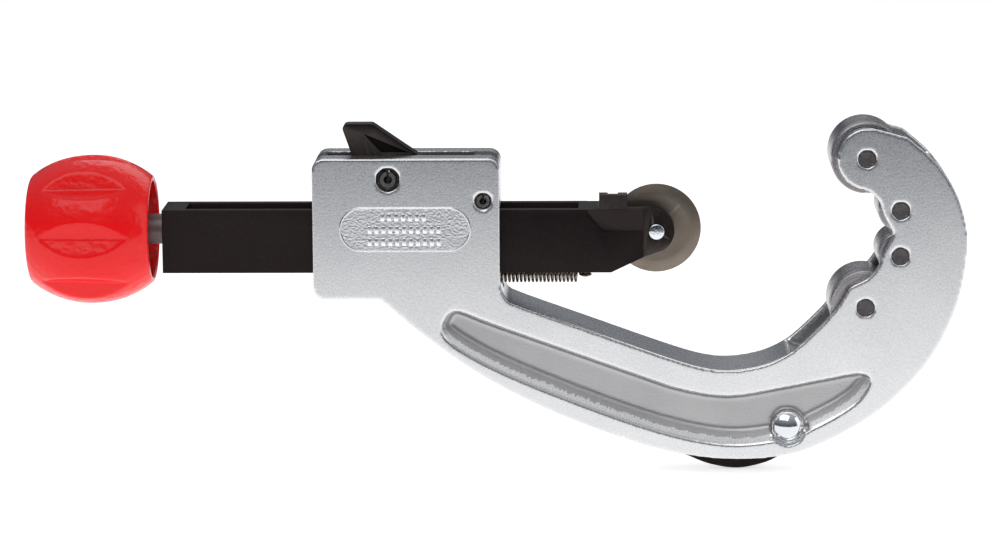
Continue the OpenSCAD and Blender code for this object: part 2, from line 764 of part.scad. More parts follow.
// A roller with a narrow groove and a land near its front end
module roller(i) {
    d = roller_sizes[i];
    color("#6e6864")
        translate([roller_places[i][0], 0, roller_places[i][1]])
            rotate([90, 0, 0])
                difference() {
                    cylinder(d = d, h = roller_w, center = true);
                    cylinder(d = roller_pin_d + 2 * pin_clear, h = roller_w + past, center = true);
                    translate([0, 0, roller_w / 2 - roller_land_w - roller_groove_w])
                        difference() {
                            cylinder(d = d + past, h = roller_groove_w);
                            cylinder(d = d - 2 * roller_groove_depth, h = roller_groove_w);
                        }
                }
}

module roller_pin(i) {
    color("#4c4a4a")
        cross_cylinder(roller_places[i][0], roller_places[i][1], roller_pin_d, frame_t - 0.8);
}

// The reamer: a flat blade folded into the arm's belly, with a rounded heel at the rivet
module reamer_blade() {
    color("#1e1c1c")
        difference() {
            translate([0, blade_y, 0])
                across(blade_t)
                    polygon(concat(arc([rivet_x, -rivet_z], 6.2, -62, 118, 12),
                                   curve([[rivet_x - 8, -55.2], [-4, -57.4], [-18, -60.8], [-26, -65],
                                          [-17, -69.2], [-9.5, -72.2], [-1, -73.4], [7.5, -71.6],
                                          [13, -68.6]])));
            cross_cylinder(rivet_x, -rivet_z, rivet_d + 2 * pin_clear, 2 * blade_t + past);
        }
}

module reamer_rivet() {
    seat = frame_t / 2 - rivet_seat;
    rise = 2.2;
    dome_r = (pow(rivet_head_d / 2, 2) + rise * rise) / (2 * rise);
    edge = asin(rivet_head_d / 2 / dome_r);
    dome = [for (i = [0 : 10])
               let (a = edge * i / 10)
               [dome_r * sin(a), seat + rise - dome_r * (1 - cos(a))]];
    color("#d4d8dc")
        translate([rivet_x, 0, -rivet_z])
            rotate([90, 0, 0])
                rotate_extrude()
                    polygon(concat(dome, [[rivet_d / 2, seat], [rivet_d / 2, -seat]],
                                   [for (i = [10 : -1 : 0]) [dome[i][0], -dome[i][1]]]));
}

module reamer_washer() {
    color("#9a9aa0")
        translate([rivet_x, blade_y + blade_t / 2 + 0.05 + washer_t / 2, -rivet_z])
            rotate([90, 0, 0])
                difference() {
                    cylinder(d = 10, h = washer_t, center = true);
                    cylinder(d = rivet_d + 2 * pin_clear, h = washer_t + past, center = true);
                }
}

frame();
slide_bar();
wheel_fork();
stop_block();
end_bush();
feed_screw();
retaining_ring();
knob();
knob_pin();
release_lever();
lever_pivot_pin();
half_nut();
half_nut_pin();
lever_spring();
guide_pin();
cutter_wheel();
wheel_pin();
wheel_pin_ring();
return_spring();
spring_front_pin();
spring_rear_pin();
roller(0);  // roller_1
roller(1);  // roller_2
roller(2);  // roller_3
roller(3);  // roller_4
roller_pin(0);  // roller_pin_1
roller_pin(1);  // roller_pin_2
roller_pin(2);  // roller_pin_3
roller_pin(3);  // roller_pin_4
reamer_blade();
reamer_rivet();
reamer_washer();
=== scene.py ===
"""Hand tube cutter: cast hook frame, screw-fed slide with a cutting wheel, four rollers, red knob.

Each sub-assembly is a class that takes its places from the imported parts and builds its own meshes.
X runs along the feed screw towards the rollers, Y across the tool and Z up, in metres.
"""

import logging
import math
from dataclasses import dataclass
from enum import Enum
from typing import Callable, Optional, Sequence

import bmesh
import bpy
from mathutils import Matrix, Vector


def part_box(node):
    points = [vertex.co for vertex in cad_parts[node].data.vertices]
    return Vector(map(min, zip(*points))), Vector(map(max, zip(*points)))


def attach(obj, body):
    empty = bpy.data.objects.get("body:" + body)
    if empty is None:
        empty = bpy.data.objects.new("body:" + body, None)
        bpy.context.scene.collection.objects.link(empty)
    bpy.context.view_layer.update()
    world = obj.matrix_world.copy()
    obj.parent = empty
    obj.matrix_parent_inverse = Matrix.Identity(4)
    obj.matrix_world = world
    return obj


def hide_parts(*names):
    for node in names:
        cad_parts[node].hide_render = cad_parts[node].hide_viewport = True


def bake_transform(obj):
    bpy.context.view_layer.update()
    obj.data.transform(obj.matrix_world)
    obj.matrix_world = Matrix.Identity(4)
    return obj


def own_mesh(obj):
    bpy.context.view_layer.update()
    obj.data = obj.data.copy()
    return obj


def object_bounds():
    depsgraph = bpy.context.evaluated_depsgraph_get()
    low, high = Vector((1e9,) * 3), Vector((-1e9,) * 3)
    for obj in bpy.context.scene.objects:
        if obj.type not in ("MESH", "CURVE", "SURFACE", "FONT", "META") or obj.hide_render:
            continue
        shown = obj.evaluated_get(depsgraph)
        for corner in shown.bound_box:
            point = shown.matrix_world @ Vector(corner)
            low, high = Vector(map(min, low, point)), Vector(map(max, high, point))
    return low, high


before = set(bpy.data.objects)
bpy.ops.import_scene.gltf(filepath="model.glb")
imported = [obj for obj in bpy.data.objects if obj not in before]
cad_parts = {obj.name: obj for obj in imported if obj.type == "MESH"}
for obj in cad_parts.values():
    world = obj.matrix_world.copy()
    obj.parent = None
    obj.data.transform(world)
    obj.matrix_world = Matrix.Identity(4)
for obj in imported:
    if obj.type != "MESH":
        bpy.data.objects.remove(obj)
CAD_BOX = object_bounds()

MM = 0.001
TURN = 2 * math.pi
log = logging.getLogger("tube_cutter")

Colour = tuple[float, float, float]
Point = tuple[float, float]


class Axis(Enum):
    """Directions that a turned piece can lie along."""

    ALONG = (1.0, 0.0, 0.0)
    ACROSS = (0.0, 1.0, 0.0)
    UP = (0.0, 0.0, 1.0)

    @property
    def vector(self) -> Vector:
        """The direction as a vector."""
        return Vector(self.value)


# --------------------------------------------------------------------------------------
# Shader node groups and finishes


class Graph:
    """Adds and joins nodes in one material's or group's tree."""

    def __init__(self, tree: bpy.types.NodeTree) -> None:
        """Keeps the tree.

        Args:
            tree: the node tree to add to.
        """
        self.tree = tree

    def add(self, kind: str, inputs: Optional[dict] = None, **settings: object) -> bpy.types.Node:
        """Adds a node.

        Args:
            kind: the node's type name, without the ShaderNode prefix unless it has none.
            inputs: values or output sockets for the node's inputs, by name or number.
            settings: the node's own properties.

        Returns:
            The new node.
        """
        name = kind if kind.startswith("NodeGroup") else "ShaderNode" + kind
        node = self.tree.nodes.new(name)
        for key, value in settings.items():
            setattr(node, key, value)
        for key, value in (inputs or {}).items():
            if isinstance(value, bpy.types.NodeSocket):
                self.tree.links.new(value, node.inputs[key])
            else:
                node.inputs[key].default_value = value
        return node

    def maths(self, operation: str, *values: object) -> bpy.types.NodeSocket:
        """Adds a Math node.

        Args:
            operation: the Math node's operation.
            values: one value or socket for each input.

        Returns:
            The node's output.
        """
        return self.add("Math", dict(enumerate(values)), operation=operation).outputs[0]

    def blend(self, factor: object, a: object, b: object) -> bpy.types.NodeSocket:
        """Mixes two colours.

        Args:
            factor: the share of b.
            a: the first colour or socket.
            b: the second colour or socket.

        Returns:
            The mixed colour.
        """
        node = self.add("Mix", data_type="RGBA")
        for key, value in ((0, factor), (6, a), (7, b)):
            if isinstance(value, bpy.types.NodeSocket):
                self.tree.links.new(value, node.inputs[key])
            else:
                node.inputs[key].default_value = value
        return node.outputs[2]

    def spread(self, value: object, low: float, high: float) -> bpy.types.NodeSocket:
        """Maps a 0 to 1 value to the range from low to high.

        Args:
            value: the socket to map.
            low: the result at 0.
            high: the result at 1.

        Returns:
            The mapped value.
        """
        return self.add("MapRange", {0: value, 3: low, 4: high}).outputs[0]


def new_group(name: str, inputs: dict, outputs: Sequence[str],
              build: Callable[[Graph, dict], dict]) -> bpy.types.NodeTree:
    """Makes a shader node group once, or returns the one already made.

    Args:
        name: the group's name.
        inputs: default value of each named input; three numbers make a vector socket.
        outputs: the names of the outputs.
        build: a function that takes the graph and the input sockets and returns the output sockets.

    Returns:
        The node group.
    """
    if name in bpy.data.node_groups:
        return bpy.data.node_groups[name]
    group = bpy.data.node_groups.new(name, "ShaderNodeTree")
    for key, value in inputs.items():
        kind = "NodeSocketVector" if isinstance(value, tuple) else "NodeSocketFloat"
        socket = group.interface.new_socket(key, in_out="INPUT", socket_type=kind)
        socket.default_value = value
    for key in outputs:
        group.interface.new_socket(key, in_out="OUTPUT", socket_type="NodeSocketFloat")
    graph = Graph(group)
    entry = graph.add("NodeGroupInput")
    leave = graph.add("NodeGroupOutput")
    for key, socket in build(graph, {s.name: s for s in entry.outputs}).items():
        group.links.new(socket, leave.inputs[key])
    return group


def mottle_group() -> bpy.types.NodeTree:
    """Soft blotches with a fine grain in them, for colour and roughness.

    Returns:
        The group, with Blotch and Grain from 0 to 1.
    """
    def build(g: Graph, s: dict) -> dict:
        """Builds the group's nodes."""
        place = g.add("TexCoord").outputs["Object"]
        blotch = g.add("TexNoise", {"Vector": place, "Scale": s["Blotch Scale"], "Detail": 3.0})
        grain = g.add("TexNoise", {"Vector": place, "Scale": s["Grain Scale"], "Detail": 2.0})
        return {"Blotch": g.spread(blotch.outputs[0], -0.4, 1.4),
                "Grain": g.spread(grain.outputs[0], -0.3, 1.3)}
    return new_group("Mottle", {"Blotch Scale": 60.0, "Grain Scale": 2500.0},
                     ("Blotch", "Grain"), build)


def wear_group() -> bpy.types.NodeTree:
    """Rubbed outer edges, broken up by a noise.

    Returns:
        The group, with a Mask from 0 to 1.
    """
    def build(g: Graph, s: dict) -> dict:
        """Builds the group's nodes."""
        place = g.add("TexCoord").outputs["Object"]
        chips = g.add("TexNoise", {"Vector": place, "Scale": s["Chip Scale"], "Detail": 4.0})
        edge = g.add("NewGeometry").outputs["Pointiness"]
        ragged = g.maths("ADD", edge, g.maths("MULTIPLY", g.maths("SUBTRACT", chips.outputs[0], 0.5),
                                              s["Raggedness"]))
        mask = g.add("MapRange", {0: ragged, 1: s["Start"], 2: s["Full"], 3: 0.0, 4: 1.0})
        return {"Mask": mask.outputs[0]}
    return new_group("Edge Wear", {"Start": 0.52, "Full": 0.58, "Raggedness": 0.04,
                                   "Chip Scale": 900.0}, ("Mask",), build)


def peel_group() -> bpy.types.NodeTree:
    """The dimpled skin of thick enamel or of a shot-blasted casting.

    Returns:
        The group, with a Height.
    """
    def build(g: Graph, s: dict) -> dict:
        """Builds the group's nodes."""
        place = g.add("TexCoord").outputs["Object"]
        cells = g.add("TexNoise", {"Vector": place, "Scale": s["Scale"], "Detail": 1.5,
                                   "Roughness": 0.4})
        return {"Height": g.maths("MULTIPLY", cells.outputs[0], s["Depth"])}
    return new_group("Orange Peel", {"Scale": 600.0, "Depth": 0.5}, ("Height",), build)


def turned_group() -> bpy.types.NodeTree:
    """Fine tool marks round an axis, as a lathe or a grinder leaves them.

    Returns:
        The group, with Lines from 0 to 1.
    """
    def build(g: Graph, s: dict) -> dict:
        """Builds the group's nodes."""
        place = g.add("TexCoord").outputs["Object"]
        arm = g.add("VectorMath", {0: place, 1: s["Centre"]}, operation="SUBTRACT").outputs[0]
        along = g.add("VectorMath", {0: arm, 1: s["Along"]}, operation="DOT_PRODUCT").outputs["Value"]
        shadow = g.add("VectorMath", {0: s["Along"], 3: along}, operation="SCALE").outputs[0]
        spoke = g.add("VectorMath", {0: arm, 1: shadow}, operation="SUBTRACT").outputs[0]
        radius = g.add("VectorMath", {0: spoke}, operation="LENGTH").outputs["Value"]
        swirl = g.add("CombineXYZ", {0: radius, 1: along})
        lines = g.add("TexNoise", {"Vector": swirl.outputs[0], "Scale": s["Scale"], "Detail": 3.0})
        return {"Lines": g.spread(lines.outputs[0], -0.5, 1.5)}
    return new_group("Turned Lines", {"Centre": (0.0, 0.0, 0.0), "Along": (0.0, 1.0, 0.0),
                                      "Scale": 5000.0}, ("Lines",), build)


@dataclass(frozen=True)
class Finish:
    """A surface finish, and the record's material slot that it belongs to."""

    name: str
    slot: str
    base: Colour
    blotch: Colour
    worn: Colour
    metallic: float = 1.0
    roughness: tuple[float, float] = (0.3, 0.4)
    blotch_scale: float = 60.0
    grain_scale: float = 2500.0
    grain_height: float = 0.1
    peel_scale: float = 0.0
    peel_height: float = 0.0
    wear: tuple[float, float] = (0.53, 0.6)
    ragged: float = 0.04
    coat: float = 0.0
    lines: float = 0.0
    shine: float = 0.5

    def material(self, centre: Vector = Vector((0, 0, 0)), axis: Axis = Axis.ACROSS) -> bpy.types.Material:
        """Builds the finish as a material.

        Args:
            centre: a point on the axis of a turned piece.
            axis: the direction that a turned piece lies along.

        Returns:
            The material; pieces with the same finish and axis share it.
        """
        spot = "_".join(f"{v / MM:.0f}" for v in centre) if self.lines else "plain"
        name = f"{self.name}_{spot}"
        if name in bpy.data.materials:
            return bpy.data.materials[name]
        made = bpy.data.materials.new(name)
        made.use_nodes = True
        made.node_tree.nodes.clear()
        g = Graph(made.node_tree)
        mottle = g.add("Group", node_tree=mottle_group())
        mottle.inputs["Blotch Scale"].default_value = self.blotch_scale
        mottle.inputs["Grain Scale"].default_value = self.grain_scale
        wear = g.add("Group", node_tree=wear_group())
        for key, value in (("Start", self.wear[0]), ("Full", self.wear[1]), ("Raggedness", self.ragged)):
            wear.inputs[key].default_value = value
        shade = g.blend(mottle.outputs["Blotch"], (*self.base, 1), (*self.blotch, 1))
        colour = g.blend(wear.outputs["Mask"], shade, (*self.worn, 1))
        rough = g.spread(mottle.outputs["Grain"], *self.roughness)
        height = g.maths("MULTIPLY", mottle.outputs["Grain"], self.grain_height)
        if self.peel_height:
            peel = g.add("Group", node_tree=peel_group())
            peel.inputs["Scale"].default_value = self.peel_scale
            peel.inputs["Depth"].default_value = self.peel_height
            height = g.maths("ADD", height, peel.outputs["Height"])
        if self.lines:
            turned = g.add("Group", node_tree=turned_group())
            turned.inputs["Centre"].default_value = centre
            turned.inputs["Along"].default_value = axis.vector
            height = g.maths("ADD", height, g.maths("MULTIPLY", turned.outputs["Lines"], self.lines))
            rough = g.maths("ADD", rough, g.spread(turned.outputs["Lines"], -0.06, 0.06))
        bump = g.add("Bump", {"Height": height, "Distance": 0.1 * MM, "Strength": 1.0})
        shader = g.add("BsdfPrincipled", {"Base Color": colour, "Roughness": rough,
                                          "Metallic": self.metallic, "Normal": bump.outputs[0],
                                          "Specular IOR Level": self.shine,
                                          "Coat Weight": self.coat, "Coat Roughness": 0.12})
        g.add("OutputMaterial", {"Surface": shader.outputs[0]})
        return made


CAST_ALLOY = Finish("cast_alloy", "cast_alloy", (0.70, 0.705, 0.72), (0.77, 0.77, 0.775),
                    (0.93, 0.93, 0.935), roughness=(0.24, 0.31), blotch_scale=45.0,
                    grain_scale=1700.0, grain_height=0.09, wear=(0.54, 0.68))
# Painted shade: a near-black copy of the cast alloy for the deep insides of the lever's slot and the slide's
# way.
CAST_PAINTED_SHADE = Finish("cast_painted_shade", "cast_alloy", (0.05, 0.05, 0.052), (0.08, 0.08, 0.082),
                     (0.10, 0.10, 0.10), metallic=0.3, roughness=(0.6, 0.75), wear=(0.8, 0.9))
# Painted shade: a darker copy of the cast alloy for the arm's pocket floors and walls; its rougher grain is
# the real as-cast texture.
CAST_POCKET_PAINTED_SHADE = Finish("cast_pocket_painted_shade", "cast_alloy", (0.46, 0.455, 0.46), (0.54, 0.53, 0.535),
                     (0.80, 0.80, 0.81), roughness=(0.34, 0.44), blotch_scale=45.0,
                     grain_scale=1700.0, grain_height=0.35, wear=(0.54, 0.68))
PLATE_STIPPLE = Finish("plate_stipple", "cast_alloy", (0.60, 0.61, 0.63), (0.70, 0.705, 0.72),
                       (0.85, 0.855, 0.87), roughness=(0.3, 0.4), grain_scale=2600.0,
                       grain_height=0.3, peel_scale=1500.0, peel_height=1.6, wear=(0.54, 0.68))
RED_ENAMEL = Finish("red_enamel", "knob_red", (0.97, 0.006, 0.008), (1.0, 0.010, 0.012),
                    (1.0, 0.04, 0.04), metallic=0.0, roughness=(0.2, 0.28), blotch_scale=80.0,
                    grain_scale=900.0, grain_height=0.3, peel_scale=460.0, peel_height=2.8,
                    wear=(0.6, 0.8), coat=0.1, shine=0.32)
BLACK_OXIDE = Finish("black_oxide", "black_steel", (0.008, 0.005, 0.0055), (0.013, 0.0085, 0.009),
                     (0.035, 0.027, 0.027), metallic=0.0, roughness=(0.42, 0.55), blotch_scale=90.0,
                     grain_scale=1500.0, grain_height=0.25, wear=(0.535, 0.62), ragged=0.03,
                     shine=0.05)
BROWN_OXIDE = Finish("brown_oxide", "black_steel", (0.010, 0.0065, 0.006), (0.018, 0.012, 0.011),
                     (0.07, 0.06, 0.055), metallic=0.0, roughness=(0.36, 0.48), blotch_scale=140.0,
                     grain_scale=1500.0, grain_height=0.25, wear=(0.54, 0.63), shine=0.1)
WHEEL_STEEL = Finish("wheel_steel", "wheel_steel", (0.205, 0.165, 0.130), (0.275, 0.235, 0.20),
                     (0.34, 0.30, 0.27), roughness=(0.36, 0.46), blotch_scale=110.0,
                     grain_scale=1800.0, wear=(0.56, 0.8), lines=0.25)
ROLLER_STEEL = Finish("roller_steel", "roller_steel", (0.34, 0.32, 0.33), (0.42, 0.40, 0.41),
                      (0.60, 0.58, 0.58), roughness=(0.22, 0.32), blotch_scale=120.0,
                      grain_scale=2200.0, wear=(0.54, 0.66), lines=0.35)
DARK_PIN = Finish("dark_pin", "pin_steel", (0.095, 0.088, 0.088), (0.15, 0.14, 0.14),
                  (0.30, 0.29, 0.29), roughness=(0.38, 0.55), blotch_scale=500.0,
                  grain_scale=2600.0, grain_height=0.5, peel_scale=1700.0, peel_height=0.8,
                  wear=(0.54, 0.66))
BRIGHT_ZINC = Finish("bright_zinc", "bright_steel", (0.70, 0.72, 0.75), (0.78, 0.80, 0.82),
                     (0.88, 0.89, 0.9), roughness=(0.1, 0.16), blotch_scale=200.0,
                     grain_scale=1500.0, wear=(0.56, 0.7))
SPRING_WIRE = Finish("spring_wire", "spring_steel", (0.20, 0.165, 0.13), (0.34, 0.29, 0.23),
                     (0.55, 0.49, 0.42), roughness=(0.22, 0.32), blotch_scale=400.0,
                     grain_scale=3000.0, wear=(0.6, 0.9))
TURNED_BRONZE = Finish("turned_bronze", "bronze", (0.50, 0.33, 0.14), (0.62, 0.43, 0.2),
                       (0.8, 0.6, 0.32), roughness=(0.22, 0.34), lines=0.3)


# --------------------------------------------------------------------------------------
# Mesh helpers


def mid(node: str) -> Vector:
    """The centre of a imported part's box.

    Args:
        node: the part's name.

    Returns:
        The centre, in metres.
    """
    low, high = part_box(node)
    return (low + high) / 2


def rounded(corners: Sequence[tuple[float, float, float]], closed: bool, steps: int = 5) -> list[Point]:
    """Rounds the corners of a profile.

    Args:
        corners: distance along the axis, radius, and corner radius of each corner, in millimetres.
        closed: True if the last corner joins the first.
        steps: pieces in each rounded corner.

    Returns:
        The profile's points, in millimetres.
    """
    points: list[Point] = []
    count = len(corners)
    for i, (x, r, size) in enumerate(corners):
        here = Vector((x, r))
        if size <= 0 or (not closed and i in (0, count - 1)):
            points.append((x, r))
            continue
        before = Vector(corners[i - 1][:2]) - here
        after = Vector(corners[(i + 1) % count][:2]) - here
        size = min(size, 0.45 * before.length, 0.45 * after.length)
        start, end = here + before.normalized() * size, here + after.normalized() * size
        for k in range(steps + 1):
            t = k / steps
            spot = start * (1 - t) ** 2 + here * 2 * t * (1 - t) + end * t ** 2
            points.append((spot.x, spot.y))
    return points


def spun(profile: Sequence[Point], centre: Vector, axis: Axis, closed: bool,
         steps: int = 64) -> bmesh.types.BMesh:
    """Spins a profile into a turned solid.

    Args:
        profile: distance along the axis and radius of each point, in millimetres.
        centre: the point on the axis that distances are measured from, in metres.
        axis: the direction of the axis.
        closed: True for a ring whose profile closes on itself; False if its ends lie on the axis.
        steps: pieces round the axis.

    Returns:
        The closed mesh.
    """
    bm = bmesh.new()
    side = Vector((0, 0, 1)) if axis is not Axis.UP else Vector((1, 0, 0))
    verts = [bm.verts.new(centre + (axis.vector * x + side * r) * MM) for x, r in profile]
    pairs = list(zip(verts, verts[1:])) + ([(verts[-1], verts[0])] if closed else [])
    edges = [bm.edges.new(pair) for pair in pairs]
    bmesh.ops.spin(bm, geom=verts + edges, cent=centre, axis=axis.vector, angle=TURN, steps=steps,
                   use_merge=True, use_duplicate=False)
    bmesh.ops.remove_doubles(bm, verts=bm.verts, dist=0.001 * MM)
    bmesh.ops.recalc_face_normals(bm, faces=bm.faces)
    return bm


def merged_copy(node: str) -> bmesh.types.BMesh:
    """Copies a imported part's mesh, joins its loose triangles and drops the lines across flat faces.

    Args:
        node: the part's name.

    Returns:
        The clean copy.
    """
    bm = bmesh.new()
    bm.from_mesh(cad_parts[node].data)
    bmesh.ops.remove_doubles(bm, verts=bm.verts, dist=0.0005 * MM)
    bmesh.ops.dissolve_limit(bm, angle_limit=math.radians(0.2), verts=bm.verts, edges=bm.edges,
                             use_dissolve_boundaries=False)
    return bm


def ease_edges(bm: bmesh.types.BMesh, width: float, segments: int = 2, angle: float = 28.0,
               chosen: Optional[Callable[[bmesh.types.BMEdge], bool]] = None) -> None:
    """Bevels the sharp edges of a solid.

    Args:
        bm: the solid.
        width: how far the bevel reaches from the edge, in millimetres.
        segments: pieces across the bevel.
        angle: edges with a smaller angle between their faces stay, in degrees.
        chosen: a further test for the edges to bevel.
    """
    sharp = [e for e in bm.edges
             if len(e.link_faces) == 2 and e.calc_face_angle(0) > math.radians(angle)
             and (chosen is None or chosen(e))]
    bmesh.ops.bevel(bm, geom=sharp, offset=width * MM, offset_type="OFFSET", segments=segments,
                    profile=0.5, affect="EDGES", clamp_overlap=True, material=-1, loop_slide=True)


def wire(points: Sequence[Vector], radius: float, closed: bool = False) -> bmesh.types.BMesh:
    """Sweeps a round wire along a path.

    Args:
        points: the path, in metres.
        radius: the wire's radius, in metres.
        closed: True if the path closes on itself.

    Returns:
        The wire's closed mesh.
    """
    curve = bpy.data.curves.new("wire_path", "CURVE")
    curve.dimensions = "3D"
    curve.bevel_depth = radius
    curve.bevel_resolution = 2
    curve.use_fill_caps = True
    spline = curve.splines.new("POLY")
    spline.points.add(len(points) - 1)
    for spot, place in zip(spline.points, points):
        spot.co = (*place, 1)
    spline.use_cyclic_u = closed
    holder = bpy.data.objects.new("wire_path", curve)
    bpy.context.scene.collection.objects.link(holder)
    mesh = evaluated(holder)
    bm = bmesh.new()
    bm.from_mesh(mesh)
    bpy.data.objects.remove(holder)
    bpy.data.meshes.remove(mesh)
    bmesh.ops.remove_doubles(bm, verts=bm.verts, dist=0.001 * MM)
    bmesh.ops.recalc_face_normals(bm, faces=bm.faces)
    return bm


def evaluated(obj: bpy.types.Object) -> bpy.types.Mesh:
    """An object's mesh with its modifiers applied.

    Args:
        obj: an object in the scene.

    Returns:
        A new mesh.
    """
    bpy.context.view_layer.update()
    graph = bpy.context.evaluated_depsgraph_get()
    return bpy.data.meshes.new_from_object(obj.evaluated_get(graph))


def place_piece(bm: bmesh.types.BMesh, name: str, body: str, finish: Finish, *nodes: str,
                material: Optional[bpy.types.Material] = None, crease: float = 35.0,
                rides: bool = True, flat_sides: bool = False) -> bpy.types.Object:
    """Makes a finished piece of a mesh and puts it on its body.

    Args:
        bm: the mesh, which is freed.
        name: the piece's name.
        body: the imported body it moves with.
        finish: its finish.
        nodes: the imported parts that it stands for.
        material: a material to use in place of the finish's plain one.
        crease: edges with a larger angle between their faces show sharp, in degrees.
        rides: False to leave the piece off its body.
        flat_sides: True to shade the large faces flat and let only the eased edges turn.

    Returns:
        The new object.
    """
    mesh = bpy.data.meshes.new(name)
    bm.to_mesh(mesh)
    bm.free()
    mesh.shade_smooth()
    mesh.set_sharp_from_angle(angle=math.radians(crease))
    mesh.materials.append(material or finish.material())
    obj = bpy.data.objects.new(name, mesh)
    bpy.context.scene.collection.objects.link(obj)
    if flat_sides:
        weighted = obj.modifiers.new("Flat sides", "WEIGHTED_NORMAL")
        weighted.mode = "FACE_AREA"
        weighted.weight = 100
        weighted.keep_sharp = True
    if rides:
        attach(obj, body)
    if nodes:
        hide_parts(*nodes)
    return obj


def eased_part(node: str, body: str, finish: Finish, width: float, segments: int = 2) -> bpy.types.Object:
    """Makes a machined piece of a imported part, with eased edges.

    Args:
        node: the part's name.
        body: the body it moves with.
        finish: its finish.
        width: the width of the eased edges, in millimetres.
        segments: pieces across each eased edge.

    Returns:
        The new object.
    """
    bm = merged_copy(node)
    ease_edges(bm, width, segments)
    return place_piece(bm, f"{node}_finished", body, finish, node, flat_sides=True)


# --------------------------------------------------------------------------------------
# Sub-assemblies


@dataclass
class Casting:
    """The hook frame: a tumbled casting with drafted pockets, soft edges and a cast plate."""

    skin: float = 0.5
    edge_round: float = 2.2
    box_round: float = 3.0
    pocket_depth: float = 5.0
    upper_draft: float = 1.4
    lower_draft: float = 4.0
    boss_room: float = 6.0
    pocket_top: float = -22.0
    pocket_inset: float = 2.4
    web_half: float = 6.0
    smoothing: int = 5
    triangles: int = 190000
    plate_low: Point = (-119.8, -4.9)
    plate_high: Point = (-81.2, 8.0)
    rim_thickness: float = 0.35
    field_proud: float = 0.1
    pip_rows: tuple = ((-108.0, -94.0, 5.2), (-112.0, -89.5, 1.5), (-112.0, -89.5, -2.2))
    pip_size: tuple = (1.3, 2.4)
    pip_gap: float = 2.05

    def build(self) -> list[bpy.types.Object]:
        """Builds the casting and its plate.

        Returns:
            The new objects.
        """
        self.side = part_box("frame")[0].y
        self.box_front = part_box("guide_pin")[1].x + 4 * MM
        pins = [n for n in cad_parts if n.startswith("roller_pin")]
        pins += ["lever_pivot_pin", "guide_pin", "reamer_rivet"]
        self.holes = [(mid(n), (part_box(n)[1].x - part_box(n)[0].x) / 2 + 1.5 * MM) for n in pins]
        self.lever_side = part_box("release_lever")[1].y
        bar_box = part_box("slide_bar")
        self.bar_side, self.bar_low, self.bar_top = bar_box[1].y, bar_box[0].z, bar_box[1].z
        self.way_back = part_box("return_spring")[0].x - 4 * MM
        return [self.body(), *self.plate()]

    def body(self) -> bpy.types.Object:
        """Builds the casting itself.

        Returns:
            The casting.
        """
        bm = merged_copy("frame")
        self.draft_pockets(bm)
        self.round_rims(bm)
        mesh = bpy.data.meshes.new("casting_rough")
        bm.to_mesh(mesh)
        bm.free()
        rough = bpy.data.objects.new("casting_rough", mesh)
        bpy.context.scene.collection.objects.link(rough)
        remesh = rough.modifiers.new("Cast skin", "REMESH")
        remesh.mode = "VOXEL"
        remesh.voxel_size = self.skin * MM
        smooth = rough.modifiers.new("Tumbling", "SMOOTH")
        smooth.factor = 0.5
        smooth.iterations = self.smoothing
        skin = evaluated(rough)
        share = self.triangles / max(1, 2 * len(skin.polygons))
        bpy.data.meshes.remove(skin)
        if share < 1:
            thin = rough.modifiers.new("Thinning", "DECIMATE")
            thin.ratio = share
        bm = bmesh.new()
        bm.from_mesh(evaluated(rough))
        bpy.data.objects.remove(rough)
        casting = place_piece(bm, "casting", "frame", CAST_ALLOY, "frame", crease=60.0)
        # Second material: near-black painted shade on the faces inside the guide box's slot and way.
        casting.data.materials.append(CAST_PAINTED_SHADE.material())
        # Third material: darker painted shade on the floors and slanted walls of the arm's pockets.
        casting.data.materials.append(CAST_POCKET_PAINTED_SHADE.material())
        for face in casting.data.polygons:
            if self.in_shaded_hollow(face.center):
                face.material_index = 1
            elif self.in_shaded_pocket(face.center, face.normal):
                face.material_index = 2
        return casting

    def in_shaded_pocket(self, place: Vector, normal: Vector) -> bool:
        """True for the floor and the slanted walls of a pocket in the arm, which get darker painted shade.

        Args:
            place: the place to test, in metres.
            normal: the surface's direction there.

        Returns:
            True if the place is in a pocket.
        """
        outer = abs(self.side) - self.pocket_inset * MM
        return (place.x > self.box_front - 20 * MM and place.z < self.pocket_top * MM
                and abs(normal.y) > 0.3 and self.web_half * MM < abs(place.y) < outer)

    def in_shaded_hollow(self, place: Vector) -> bool:
        """True for a place inside the lever's slot or the slide's way, whose faces get near-black painted
        shade.

        Args:
            place: the place to test, in metres.

        Returns:
            True if the place is in a hollow of the guide box.
        """
        if place.x > self.box_front - 2 * MM:
            return False
        side = abs(place.y)
        in_slot = side < self.lever_side + 0.6 * MM and place.z > self.bar_top
        in_way = (side < self.bar_side + 0.4 * MM and place.x > self.way_back
                  and self.bar_low - 6 * MM < place.z < self.bar_top + 0.4 * MM)
        return in_slot or in_way

    def draft_pockets(self, bm: bmesh.types.BMesh) -> None:
        """Slants the walls of the arm's two pockets by moving their floors' outlines inwards.

        Args:
            bm: the casting's mesh.
        """
        floor_side = abs(self.side) - self.pocket_depth * MM
        floors = [f for f in bm.faces if abs(f.normal.y) > 0.99
                  and abs(abs(f.calc_center_median().y) - floor_side) < 0.2 * MM]
        moves: dict[bmesh.types.BMVert, Vector] = {}
        for face in floors:
            for loop in face.loops:
                for edge_loop in (loop, loop.link_loop_prev):
                    if all(f in floors for f in edge_loop.edge.link_faces):
                        continue
                    run = edge_loop.link_loop_next.vert.co - edge_loop.vert.co
                    inward = face.normal.cross(run).normalized()
                    moves[loop.vert] = moves.get(loop.vert, Vector()) + inward
        boss = mid("reamer_rivet")
        for vert, inward in moves.items():
            by_boss = math.hypot(vert.co.x - boss.x, vert.co.z - boss.z) < self.boss_room * MM
            if by_boss or inward.length < 0.3:
                continue
            share = 0.5 + 0.5 * inward.normalized().z
            draft = self.upper_draft + (self.lower_draft - self.upper_draft) * share
            vert.co += inward.normalized() * draft * MM

